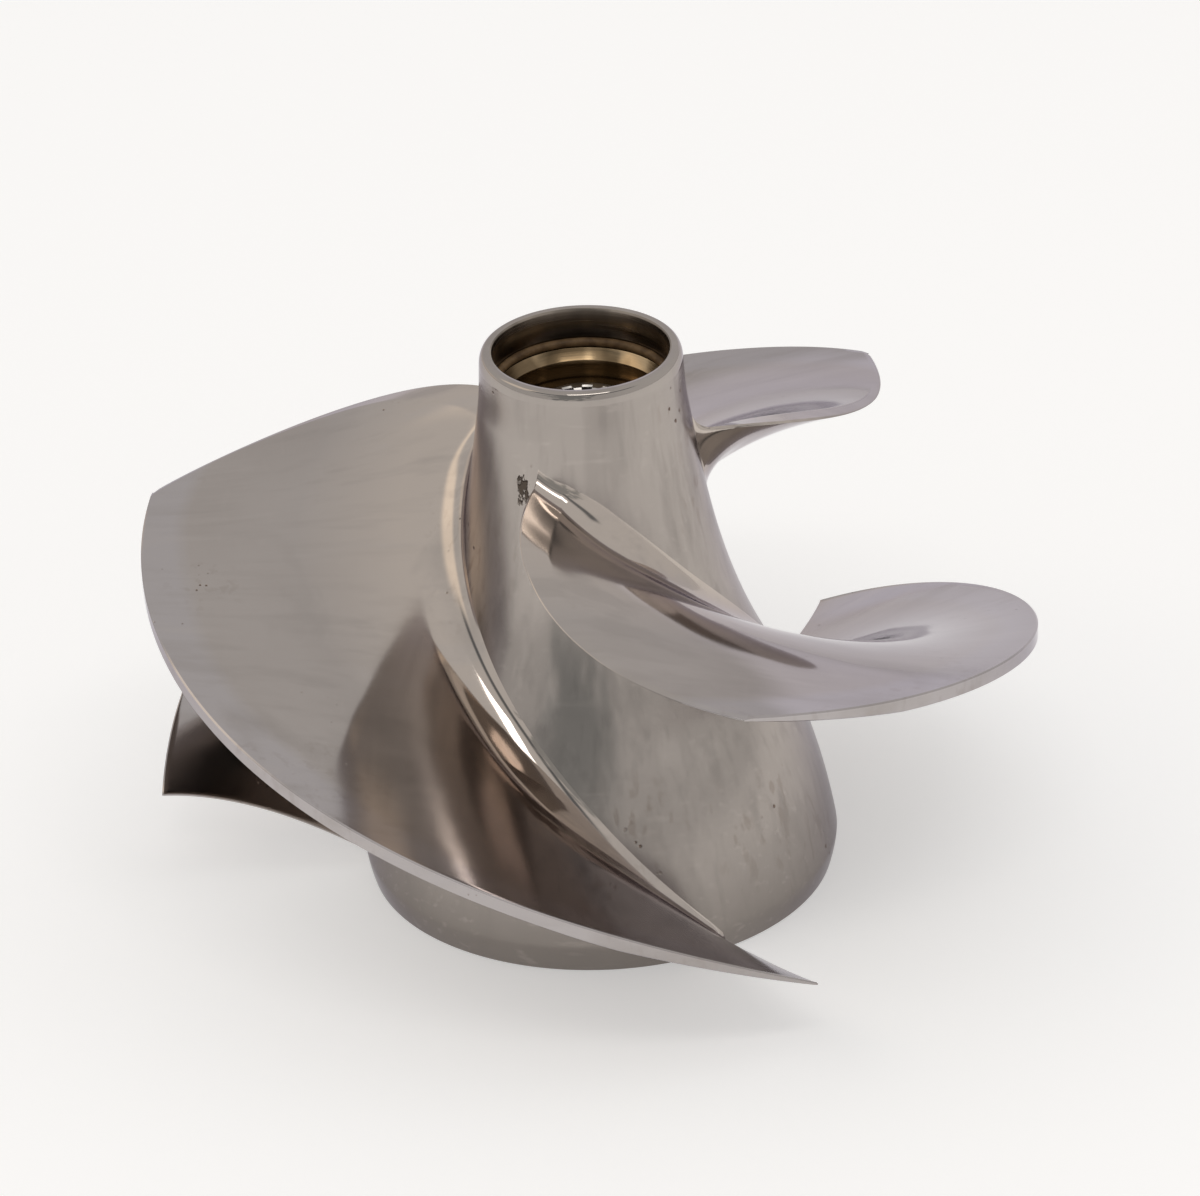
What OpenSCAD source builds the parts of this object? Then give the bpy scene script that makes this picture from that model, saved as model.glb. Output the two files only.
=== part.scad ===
// Three-blade jet-pump impeller: an ogive hub with long, overlapping helical blades.
// The rear plane of the hub is z = 0 and the nose points to +Z.

/* [Part to draw] */
// Which sub-part to draw

/* [Hub body] */
// Length of the hub from rear plane to nose lip
hub_len = 102.5; // [85:0.5:125]
// Diameter at the shoulder, the hub's widest ring
shoulder_dia = 85.8; // [71:0.1:103]
// Height of the shoulder above the rear plane
shoulder_z = 5; // [4:0.5:7]
// How much the boat-tail below the shoulder takes off the radius
tail_drop = 1; // [0:0.1:2]
// Diameter at the waist, where the hub's side is steepest
waist_dia = 62.8; // [52:0.1:70]
// Height of the waist above the rear plane
waist_z = 42; // [34:0.5:50]
// Distance from the nose lip down to the neck, where the ogive turns into the nose
neck_back = 10.3; // [8:0.1:13]
// How much wider the neck is than the nose lip, in radius
neck_flare = 0.6; // [0:0.1:1.2]
// Wall of the hollow rear part
wall = 4; // [3:0.5:6]
// Width of the flat ring on the nose lip
lip_w = 2.3; // [1.9:0.1:4]
// Radius of the rounded edge on the nose lip
lip_round = 0.8; // [0.5:0.1:1.5]

/* [Blade line] */
// Diameter over the blade tips
tip_dia = 159.5; // [132:0.5:192]
// Angle that each tip wraps round the axis
tip_wrap = 128.7; // [100:0.1:155]
// Angle of the first blade's leading tip from the +X axis
first_angle = 168.2; // [0:0.1:360]
// Distance from the nose lip down to the leading tip
lead_tip_back = 33.4; // [27:0.1:41]
// Distance from the nose lip down to the leading root
lead_root_back = 17.5; // [14:0.1:21]
// Height of the trailing tip above the rear plane
trail_tip_z = 13.6; // [11:0.1:17]
// Height of the trailing root above the rear plane
trail_root_z = 2.3; // [2:0.1:4]
// Steepness of the tip line at its leading end, over its mean steepness
lead_grade = 0.5; // [0.4:0.01:0.6]
// Steepness of the tip line at its trailing end, over its mean steepness
trail_grade = 1.7; // [1.4:0.01:1.8]
// Share of the tip line's fall that is reached half way along it
mid_fall = 0.377; // [0.34:0.001:0.42]
// Angle that the leading edge sweeps back from root to tip
lead_sweep = 43.8; // [35:0.1:53]
// Angle from the trailing tip on to the trailing root
trail_sweep = 2.1; // [0:0.1:8]
// Angle that the trailing edge bows in between root and tip
trail_hollow = 9; // [0:0.5:14]

/* [Blade section] */
// Blade thickness at the tip
tip_t = 2.7; // [2.2:0.1:4]
// Blade thickness at the root
root_t = 5.3; // [3.5:0.1:7]
// Thickness left on the leading edge
lead_edge_t = 0.4; // [0.3:0.1:1]
// Thickness left on the trailing edge
trail_edge_t = 0.5; // [0.3:0.1:1]
// Fillet between a blade's upper face and the hub
top_fillet = 6.5; // [3:0.5:9]
// Fillet between a blade's lower face and the hub
under_fillet = 7; // [3:0.5:9]

/* [Nose bore] */
// Diameter of the bore inside the lip
nose_bore_dia = 31.3; // [26:0.1:37.6]
// Depth of that bore down to the ring groove
nose_bore_len = 5.6; // [4.6:0.1:8]
// Width of the ring groove
groove_w = 1.7; // [1.4:0.1:2.5]
// Depth of the ring groove
groove_d = 0.55; // [0.3:0.05:0.8]
// How far the seal bore is narrower than the nose bore, in radius
seat_step = 1.8; // [1.2:0.1:2.4]
// Height of the seal seat's sloped face
seat_slope_h = 2; // [1:0.1:3]
// Length of the seal bore below the sloped face
seal_len = 1.9; // [1:0.1:3]

/* [Drive] */
// Outer diameter of the spline sleeve
sleeve_dia = 18.4; // [15.3:0.1:22.1]
// Length of the spline sleeve
sleeve_len = 27; // [20:0.5:33]
// How far the sleeve's face stands above the floor of the bore
sleeve_proud = 0.8; // [0.4:0.1:1.5]
// Wall of the sleeve behind its notches
sleeve_wall = 1.5; // [1.2:0.1:2]
// Number of spline notches
spline_count = 13; // [10:1:16]
// Depth of a spline notch
notch_d = 1.1; // [0.8:0.1:1.4]
// Width of a spline notch
notch_w = 1.8; // [1.2:0.1:2]
// Outer diameter of the threaded boss
boss_dia = 30; // [26:0.5:36]
// Minor diameter of the shaft thread
thread_minor_dia = 18.38; // [15.3:0.01:22.1]
// Length of the thread
thread_len = 28; // [22:0.5:34]
// Length of the shaft damper
damper_len = 12; // [8:0.5:15]
// Diameter of the hole through the shaft damper
damper_hole_dia = 4; // [2:0.5:6]

/* [Hidden] */
blade_step = 120;

// heights of the nose bore's steps, from the lip down
bore_z = hub_len - nose_bore_len;
groove_z = bore_z - groove_w;
seat_edge_z = groove_z - seat_slope_h;
sleeve_top = seat_edge_z - seal_len;
floor_z = sleeve_top - sleeve_proud;
sleeve_z = sleeve_top - sleeve_len;

// the damper pocket's cap, then the socket that holds the top of the boss
cap_t = 2;
socket_len = 8;
boss_top = sleeve_z - cap_t;
cavity_top = boss_top - socket_len;

// radii of the nose bore and the drive
bore_r = nose_bore_dia / 2;
groove_r = bore_r + groove_d;
seat_r = bore_r - seat_step;
seat_rim_w = 0.5;
undercut_d = 0.4;
sleeve_r = sleeve_dia / 2;
notch_r = sleeve_r - sleeve_wall;
spline_tip_r = notch_r - notch_d;
sleeve_ledge = 1.2;
sleeve_chamfer = 0.5;
pocket_r = sleeve_r - sleeve_ledge;
boss_r = boss_dia / 2;
thread_r = thread_minor_dia / 2;
relief_len = 3;
relief_d = 1;
damper_gap = 2;
ring_gap = 0.05;
ring_core_r = groove_w / 2 - ring_gap;

// hub outline: shoulder, waist and neck, joined by smooth curves
nose_r = bore_r + lip_w;
lip_z = hub_len - lip_round;
shoulder_r = shoulder_dia / 2;
shoulder_slope = -0.15;
tail_power = 1.5;
waist_r = waist_dia / 2;
neck_r = nose_r + neck_flare;
neck_z = hub_len - neck_back;
neck_slope = -0.14;
lip_slope = -0.05;
waist_steepness = 1.75;
waist_slope = -waist_steepness * (shoulder_r - neck_r) / (neck_z - shoulder_z);

// tip line, a quartic through its two ends and its half-way height
tip_r = tip_dia / 2;
lead_tip_z = hub_len - lead_tip_back;
fall = lead_tip_z - trail_tip_z;
grade_gain = trail_grade - lead_grade;
term_4 = 16 * mid_fall - 8 + 2 * grade_gain;
term_3 = grade_gain - 2 * (1 - lead_grade) - 2 * term_4;
term_2 = 3 * (1 - lead_grade) - grade_gain + term_4;

// leading and trailing edges
lead_bow = 0.29;
lead_hook = 0.4;
lead_root_z = hub_len - lead_root_back;
lead_root_r = hub_r(lead_root_z);
lead_root_t = -lead_sweep / tip_wrap;
lead_lift = lead_root_z - fall_z(lead_root_t);
lift_start_r = lead_root_r + (tip_r - lead_root_r) / 10;
trail_root_r = hub_r(trail_root_z);
trail_root_t = 1 + trail_sweep / tip_wrap;
trail_drop = fall_z(trail_root_t) - trail_root_z;

// blade section: both edges are ground down over a share of the chord
lead_taper = 0.18;
trail_taper = 0.2;
taper_power = 0.8;
root_power = 1.5;

// the fillets change near both ends of the root
lead_blend = 0.2;
trail_blend = 0.3;
top_lead_share = 0.3;
under_lead_share = 1.35;
under_lead_spread = 1.5;
trail_share = 0.3;
embed = 1.2;
base_gap = 0.4;

// mesh counts
chord_cells = 48;
fillet_cells = 4;
span_cells = 9;
rows = 1 + fillet_cells + span_cells;
root_passes = 24;
slope_step = 0.01;
profile_step = 2;
lip_step = 15;
round_fn = 96;
ring_fn = 32;
through = 1;

// curve between (x0, y0) and (x1, y1) with slopes m0 and m1
function curve(x, x0, y0, m0, x1, y1, m1) =
    let (w = x1 - x0, u = (x - x0) / w)
    (2*u*u*u - 3*u*u + 1) * y0 + (u*u*u - 2*u*u + u) * w * m0
    + (3*u*u - 2*u*u*u) * y1 + (u*u*u - u*u) * w * m1;

// 0 to 1 as x goes from 0 to 1, level at both ends
function ease(x) = curve(max(0, min(1, x)), 0, 0, 0, 1, 1, 0);

// outer radius of the hub at height z
function hub_r(z) =
    z < shoulder_z ? shoulder_r - tail_drop * pow(1 - max(z, 0) / shoulder_z, tail_power) :
    z < waist_z ? curve(z, shoulder_z, shoulder_r, shoulder_slope, waist_z, waist_r, waist_slope) :
    z < neck_z ? curve(z, waist_z, waist_r, waist_slope, neck_z, neck_r, neck_slope) :
    curve(min(z, lip_z), neck_z, neck_r, neck_slope, lip_z, nose_r, lip_slope);

// height of the tip line at share t of its wrap; it runs straight on past both ends
function fall_share(t) =
    t < 0 ? lead_grade * t :
    t > 1 ? 1 + trail_grade * (t - 1) :
    t * (lead_grade + t * (term_2 + t * (term_3 + t * term_4)));
function fall_z(t) = lead_tip_z - fall * fall_share(t);

// share of the wrap at which each edge, and the chord between them, crosses radius r
function lead_t(r) =
    let (v = (tip_r - r) / (tip_r - lead_root_r))
    lead_root_t * v * (1 + (1 - v) * (lead_bow + lead_hook * v));
function trail_t(r) =
    let (w = (tip_r - r) / (tip_r - trail_root_r))
    1 + (trail_sweep * w - trail_hollow * w * (1 - w)) / tip_wrap;
function chord_t(s, r) = lead_t(r) + (trail_t(r) - lead_t(r)) * s;

// height of the blade's upper face at chord share s and radius r
function lift(r) =
    lead_lift * pow(1 - pow(max(0, (r - lift_start_r) / (tip_r - lift_start_r)), 2), 3);
function drop(r) = trail_drop * (tip_r - r) / (tip_r - trail_root_r);
function sheet_z(s, r) = fall_z(chord_t(s, r)) + (1 - s) * lift(r) - s * drop(r);

// fall of the upper face along the chord, as a slope
function sheet_slope(s, r) =
    let (h = slope_step,
         arc = (chord_t(s + h, r) - chord_t(s - h, r)) * tip_wrap * PI / 180 * r)
    (sheet_z(s - h, r) - sheet_z(s + h, r)) / arc;

// radius at which the upper face meets the hub
function root_r(s, n = root_passes, r = waist_r) =
    n == 0 ? r : root_r(s, n - 1, (r + hub_r(sheet_z(s, r))) / 2);

// thickness along Z at chord share s and radius r, for a root at radius r0
function ground_t(full, edge_t, share) = edge_t + (full - edge_t) * pow(min(1, share), taper_power);
function blade_t(s, r, r0) =
    let (inward = max(0, min(1, (tip_r - r) / (tip_r - r0))),
         full = tip_t + (root_t - tip_t) * pow(inward, root_power))
    min(ground_t(full, lead_edge_t, s / lead_taper),
        ground_t(full, trail_edge_t, (1 - s) / trail_taper))
    * sqrt(1 + pow(sheet_slope(s, r), 2));

// height of the upper (side = 1) or lower (side = -1) face, and the radius where it meets the hub
function face_z(s, r, side, r0) = sheet_z(s, r) - (side < 0 ? blade_t(s, r, r0) : 0);
function meet_r(s, side, r0, n, r) =
    n == 0 ? r : meet_r(s, side, r0, n - 1, (r + hub_r(face_z(s, r, side, r0))) / 2);

// height and width of the fillet on the upper (side = 1) or lower (side = -1) face
function fillet_share(s, lead_share) =
    (lead_share + (1 - lead_share) * ease(s / lead_blend))
    * (trail_share + (1 - trail_share) * ease((1 - s) / trail_blend));
function fillet_h(s, side) =
    side > 0 ? top_fillet * fillet_share(s, top_lead_share)
    : under_fillet * fillet_share(s, under_lead_share);
function fillet_w(s, side) =
    fillet_h(s, side) * (side > 0 ? 1 : under_lead_spread + (1 - under_lead_spread) * ease(s / lead_blend));

// radius and height of a blade point: row 0 is inside the hub, then come the fillet and the span
function blade_row(s, row, side, r0, meet) =
    let (high = fillet_h(s, side),
         a = 90 * (1 - max(0, min(row - 1, fillet_cells)) / fillet_cells),
         rise = high * (1 - cos(a)),
         lean = (hub_r(face_z(s, meet, side, r0) + side * high) - meet) * rise / high,
         foot_r = meet + fillet_w(s, side) * (1 - sin(a)) + lean - (row == 0 ? embed : 0),
         out = max(0, row - 1 - fillet_cells) / span_cells,
         r = foot_r + (tip_r - foot_r) * out)
    [r, max(face_z(s, r, side, r0) + side * rise, base_gap)];
function blade_point(s, row, side, r0, meet) =
    let (p = blade_row(s, row, side, r0, meet), a = tip_wrap * chord_t(s, p[0]))
    [p[0] * cos(a), p[0] * sin(a), p[1]];

module hub_shell() {
    outline = [for (z = [0 : profile_step : lip_z]) [hub_r(z), z]];
    lip = [for (a = [0 : lip_step : 90])
        [nose_r - lip_round * (1 - cos(a)), lip_z + lip_round * sin(a)]];
    bore = [[bore_r, hub_len], [bore_r, bore_z], [groove_r, bore_z], [groove_r, groove_z],
            [bore_r, groove_z], [bore_r, floor_z], [sleeve_r, floor_z], [sleeve_r, sleeve_z],
            [pocket_r, sleeve_z], [pocket_r, boss_top], [boss_r, boss_top], [boss_r, cavity_top]];
    hollow = [for (z = [cavity_top : -profile_step : 0]) [hub_r(z) - wall, z]];
    mouth = [[hub_r(0) - wall, 0]];
    color([0.62, 0.59, 0.57])
        rotate_extrude($fn = round_fn)
            polygon(concat(outline, lip, bore, hollow, mouth));
}

module blade(number) {
    shares = [for (i = [0 : chord_cells]) i / chord_cells];
    roots = [for (s = shares) root_r(s)];
    points = [for (side = [1, -1]) for (i = [0 : chord_cells])
        let (s = shares[i], r0 = roots[i], meet = meet_r(s, side, r0, root_passes, r0))
        for (row = [0 : rows]) blade_point(s, row, side, r0, meet)];
    width = rows + 1;
    under = (chord_cells + 1) * width;
    last = chord_cells * width;
    upper_faces = [for (i = [0 : chord_cells - 1]) for (row = [0 : rows - 1])
        let (a = i * width + row, b = a + 1, c = a + width, d = c + 1)
        each [[a, b, d], [a, d, c]]];
    lower_faces = [for (f = upper_faces) [f[0] + under, f[2] + under, f[1] + under]];
    rim_edges = [for (i = [0 : chord_cells - 1]) each
        [[i * width, (i + 1) * width], [(i + 1) * width + rows, i * width + rows]]];
    end_edges = [for (row = [0 : rows - 1]) each [[row + 1, row], [last + row, last + row + 1]]];
    wall_faces = [for (e = concat(rim_edges, end_edges)) each
        [[e[0], e[1], e[1] + under], [e[0], e[1] + under, e[0] + under]]];
    color([0.6, 0.57, 0.55])
        rotate(first_angle + (number - 1) * blade_step)
            polyhedron(points, concat(upper_faces, lower_faces, wall_faces));
}

module blade_1() { blade(1); }
module blade_2() { blade(2); }
module blade_3() { blade(3); }

module shaft_boss() {
    relief_r = thread_r + relief_d;
    relief_top = thread_len + relief_len;
    color([0.55, 0.53, 0.51])
        rotate_extrude($fn = round_fn)
            polygon([[thread_r, 0], [boss_r, 0], [boss_r, boss_top], [pocket_r, boss_top],
                     [pocket_r, relief_top], [relief_r, relief_top], [relief_r, thread_len],
                     [thread_r, thread_len]]);
}

module spline_sleeve() {
    color([0.78, 0.76, 0.73])
        difference() {
            rotate_extrude($fn = round_fn)
                polygon([[spline_tip_r, sleeve_z], [sleeve_r, sleeve_z],
                         [sleeve_r, sleeve_top - sleeve_chamfer],
                         [sleeve_r - sleeve_chamfer, sleeve_top], [spline_tip_r, sleeve_top]]);
            for (i = [0 : spline_count - 1])
                rotate(i * 360 / spline_count)
                    translate([0, -notch_w / 2, sleeve_z - through])
                        cube([notch_r, notch_w, sleeve_len + 2 * through]);
        }
}

// The undercut round the sleeve's face leaves the seal bore clear over its whole length.
module seal_seat() {
    color([0.6, 0.48, 0.33])
        rotate_extrude($fn = round_fn)
            polygon([[seat_r + undercut_d, floor_z], [bore_r, floor_z], [bore_r, groove_z],
                     [bore_r - seat_rim_w, groove_z], [seat_r, seat_edge_z], [seat_r, sleeve_top],
                     [seat_r + undercut_d, sleeve_top]]);
}

module nose_ring() {
    color([0.2, 0.15, 0.12])
        translate([0, 0, groove_z + groove_w / 2])
            rotate_extrude($fn = round_fn)
                translate([groove_r - ring_core_r, 0])
                    circle(r = ring_core_r, $fn = ring_fn);
}

module shaft_damper() {
    color([0.12, 0.12, 0.12])
        translate([0, 0, boss_top - damper_gap - damper_len])
            difference() {
                cylinder(r = pocket_r, h = damper_len, $fn = round_fn);
                translate([0, 0, -through])
                    cylinder(d = damper_hole_dia, h = damper_len + 2 * through, $fn = round_fn);
            }
}

hub_shell();
blade_1();
blade_2();
blade_3();
shaft_boss();
spline_sleeve();
seal_seat();
nose_ring();
shaft_damper();
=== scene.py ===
import math
import bpy
import numpy as np
from mathutils import Matrix, Vector


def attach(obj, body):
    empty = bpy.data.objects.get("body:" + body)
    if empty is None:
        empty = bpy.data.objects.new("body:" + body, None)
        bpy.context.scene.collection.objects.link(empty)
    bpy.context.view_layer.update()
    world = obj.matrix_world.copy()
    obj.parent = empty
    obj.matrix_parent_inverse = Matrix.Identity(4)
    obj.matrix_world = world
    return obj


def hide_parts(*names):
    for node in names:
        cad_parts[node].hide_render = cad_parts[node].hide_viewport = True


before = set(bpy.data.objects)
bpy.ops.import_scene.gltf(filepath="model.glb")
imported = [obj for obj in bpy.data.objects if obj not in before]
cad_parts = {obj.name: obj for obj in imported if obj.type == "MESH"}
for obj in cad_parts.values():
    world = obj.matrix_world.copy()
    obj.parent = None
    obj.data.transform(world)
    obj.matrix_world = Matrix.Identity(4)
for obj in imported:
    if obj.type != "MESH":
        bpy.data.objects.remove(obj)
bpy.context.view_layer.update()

MM = 0.001

# ---------------------------------------------------------------- hub and blade shape, in mm
HUB_LEN = 102.5
SHOULDER_R = 42.9
SHOULDER_Z = 5.0
SHOULDER_SLOPE = -0.15
TAIL_DROP = 1.0
WAIST_R = 31.4
WAIST_Z = 42.0
NECK_R = 18.55
NECK_Z = 92.2
NECK_SLOPE = -0.14
WAIST_SLOPE = -1.75 * (SHOULDER_R - NECK_R) / (NECK_Z - SHOULDER_Z)
NOSE_R = 18.02
NOSE_SLOPE = -0.05
LIP_W = 1.0
LIP_H = 2.4
LIP_Z = HUB_LEN - LIP_H
TIP_R = 79.75
TIP_WRAP = 128.7
FIRST_ANGLE = 168.2
BLADES = 3
BLADE_STEP = 360 / BLADES
LEAD_TIP_Z = 69.1
TRAIL_TIP_Z = 13.6
LEAD_ROOT_Z = 85.0
TRAIL_ROOT_Z = 2.3
MID_FALL = 0.377
LEAD_GRADE = 0.5
TRAIL_GRADE = 1.7
LEAD_SWEEP = 43.8
LEAD_BOW = 0.29
LEAD_HOOK = 0.4
TRAIL_SWEEP = 2.1
TRAIL_HOLLOW = 9.0
FALL = LEAD_TIP_Z - TRAIL_TIP_Z


def cubic(x, x0, y0, m0, x1, y1, m1):
    """Cubic from (x0, y0) with slope m0 to (x1, y1) with slope m1."""
    w = x1 - x0
    u = (x - x0) / w
    return ((2*u**3 - 3*u*u + 1) * y0 + (u**3 - 2*u*u + u) * w * m0
            + (3*u*u - 2*u**3) * y1 + (u**3 - u*u) * w * m1)


def hub_r(z):
    """Outer radius of the hub at height z."""
    z = np.asarray(z, float)
    tail = SHOULDER_R - TAIL_DROP * np.clip(1 - np.maximum(z, 0) / SHOULDER_Z, 0, 1) ** 1.5
    low = cubic(z, SHOULDER_Z, SHOULDER_R, SHOULDER_SLOPE, WAIST_Z, WAIST_R, WAIST_SLOPE)
    high = cubic(z, WAIST_Z, WAIST_R, WAIST_SLOPE, NECK_Z, NECK_R, NECK_SLOPE)
    top = cubic(np.minimum(z, LIP_Z), NECK_Z, NECK_R, NECK_SLOPE, LIP_Z, NOSE_R, NOSE_SLOPE)
    upper = np.where(z < NECK_Z, high, top)
    return np.where(z < SHOULDER_Z, tail, np.where(z < WAIST_Z, low, upper))


def hub_slope(z):
    return (hub_r(z + 0.05) - hub_r(z - 0.05)) / 0.1


GRADE_GAIN = TRAIL_GRADE - LEAD_GRADE
TERM_4 = 16 * MID_FALL - 8 + 2 * GRADE_GAIN
TERM_3 = GRADE_GAIN - 2 * (1 - LEAD_GRADE) - 2 * TERM_4
TERM_2 = 3 * (1 - LEAD_GRADE) - GRADE_GAIN + TERM_4


def fall_z(t):
    """Height of the blade's tip line at share t of its wrap."""
    t = np.asarray(t, float)
    inside = t * (LEAD_GRADE + t * (TERM_2 + t * (TERM_3 + t * TERM_4)))
    share = np.where(t < 0, LEAD_GRADE * t, np.where(t > 1, 1 + TRAIL_GRADE * (t - 1), inside))
    return LEAD_TIP_Z - FALL * share


LEAD_ROOT_R, TRAIL_ROOT_R = float(hub_r(LEAD_ROOT_Z)), float(hub_r(TRAIL_ROOT_Z))
LEAD_ROOT_T, TRAIL_ROOT_T = -LEAD_SWEEP / TIP_WRAP, 1 + TRAIL_SWEEP / TIP_WRAP
LIFT_R = LEAD_ROOT_R + 0.1 * (TIP_R - LEAD_ROOT_R)
LEAD_LIFT = LEAD_ROOT_Z - float(fall_z(LEAD_ROOT_T))
TRAIL_DROP = float(fall_z(TRAIL_ROOT_T)) - TRAIL_ROOT_Z


def lead_t(r):
    """Share of the wrap at which the leading edge stands at radius r."""
    v = (TIP_R - r) / (TIP_R - LEAD_ROOT_R)
    return LEAD_ROOT_T * v * (1 + (1 - v) * (LEAD_BOW + LEAD_HOOK * v))


def trail_t(r):
    """Share of the wrap at which the trailing edge stands at radius r."""
    w = (TIP_R - r) / (TIP_R - TRAIL_ROOT_R)
    return 1 + (TRAIL_SWEEP * w - TRAIL_HOLLOW * w * (1 - w)) / TIP_WRAP


def chord_t(s, r):
    return lead_t(r) + (trail_t(r) - lead_t(r)) * s


def sheet_z(s, r):
    """Height of the blade's upper sheet at chord share s and radius r."""
    lift = LEAD_LIFT * (1 - np.maximum(0, (r - LIFT_R) / (TIP_R - LIFT_R)) ** 2) ** 3
    drop = TRAIL_DROP * (TIP_R - r) / (TIP_R - TRAIL_ROOT_R)
    return fall_z(chord_t(s, r)) + (1 - s) * lift - s * drop


def root_radius(s):
    """Radius at which the sheet meets the hub."""
    r = np.full_like(s, WAIST_R)
    for _ in range(30):
        r = (r + hub_r(sheet_z(s, r))) / 2
    return r


# ---------------------------------------------------------------- mesh helpers
LATHE_SEGMENTS = 288


def make_mesh(name, verts_mm, faces, sharp=30.0):
    """A piece with smooth faces; edges over sharp degrees stay hard."""
    mesh = bpy.data.meshes.new(name)
    mesh.from_pydata([tuple(v) for v in np.asarray(verts_mm) * MM], [], faces)
    mesh.validate()
    mesh.shade_smooth()
    mesh.set_sharp_from_angle(angle=math.radians(sharp))
    obj = bpy.data.objects.new(name, mesh)
    bpy.context.collection.objects.link(obj)
    return obj


def around(radius, angle, height):
    """Points from polar coordinates, angle in radians."""
    return np.stack([radius * np.cos(angle), radius * np.sin(angle), height], -1)


def lathe(name, profile, segments=LATHE_SEGMENTS):
    """A turned piece. profile is a closed list of (r, z) in mm, anticlockwise round the section."""
    p = np.asarray(profile, float)
    n = len(p)
    a = np.linspace(0, 2 * math.pi, segments, endpoint=False)
    verts = around(p[None, :, 0], a[:, None], np.tile(p[:, 1], (segments, 1))).reshape(-1, 3)
    faces = []
    for i in range(segments):
        j = (i + 1) % segments
        faces += [(i * n + k, j * n + k, j * n + (k + 1) % n, i * n + (k + 1) % n) for k in range(n)]
    return make_mesh(name, verts, faces)


def arc_points(cx, cz, radius, a0, a1, n):
    return [(cx + radius * math.cos(a), cz + radius * math.sin(a))
            for a in np.radians(np.linspace(a0, a1, n))]


# ---------------------------------------------------------------- blades
TIP_T = 2.7
ROOT_T = 5.3
LEAD_EDGE_T = 0.3
TRAIL_EDGE_T = 0.5
LEAD_TAPER = 0.18
TRAIL_TAPER = 0.2
TAPER_POWER = 0.8
TOP_FILLET = 6.5
UNDER_FILLET = 7.0
TOP_LEAD = 0.45
UNDER_LEAD = 1.35
UNDER_SPREAD = 1.5
LEAD_SPAN = 0.2
TRAIL_SPAN = 0.3
TRAIL_SIZE = 0.3
FILLET_FULLNESS = 0.55
BASE_GAP = 0.4
ROOT_END_Z = 0.6
BEVEL_ROOT_W = 5.5
BEVEL_TIP_W = 1.2
BEVEL_TIP_R = 70.0
BEVEL_SPAN = 45.0
BEVEL_SLOPE = 0.28
BEVEL_FADE = 30.0
RIM_CHAMFER_R = 0.3
RIM_CHAMFER_Z = 0.25
EDGE_BULGE = 0.35
EDGE_BULGE_H = 1.6
BURIED_ROWS = ((0.35, 1.2), (0.06, 0.5))
N_CHORD, N_FILLET, N_SPAN, N_WALL = 240, 14, 56, 6


def ease(x):
    x = np.clip(x, 0, 1)
    return x * x * (3 - 2 * x)


def fillet_share(s, lead):
    """Fillet size along the chord: lead times the full size in front, less at the rear."""
    front = lead + (1 - lead) * ease(s / LEAD_SPAN)
    return front * (TRAIL_SIZE + (1 - TRAIL_SIZE) * ease((1 - s) / TRAIL_SPAN))


def thickness(s, r, root_r):
    """Height between the two faces; it thins towards the tip and both edges."""
    near_root = np.clip((TIP_R - r) / (TIP_R - root_r), 0, 1) ** 1.5
    full = TIP_T + (ROOT_T - TIP_T) * near_root
    lead = LEAD_EDGE_T + (full - LEAD_EDGE_T) * np.minimum(1, s / LEAD_TAPER) ** TAPER_POWER
    trail = TRAIL_EDGE_T + (full - TRAIL_EDGE_T) * np.minimum(1, (1 - s) / TRAIL_TAPER) ** TAPER_POWER
    h = 0.004
    arc = (chord_t(s + h, r) - chord_t(s - h, r)) * math.radians(TIP_WRAP) * r
    slope = (sheet_z(s - h, r) - sheet_z(s + h, r)) / arc
    return np.minimum(lead, trail) * np.sqrt(1 + slope**2)


def bevel(s, r):
    """Rise of the upper face behind the band that is ground along the leading edge."""
    width = BEVEL_TIP_W + (BEVEL_ROOT_W - BEVEL_TIP_W) * ease((BEVEL_TIP_R - r) / BEVEL_SPAN)
    from_edge = s * (chord_t(1, r) - chord_t(0, r)) * math.radians(TIP_WRAP) * r
    fade = 1 - ease((from_edge - width) / BEVEL_FADE)
    return BEVEL_SLOPE * np.minimum(width, from_edge) * fade


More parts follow.
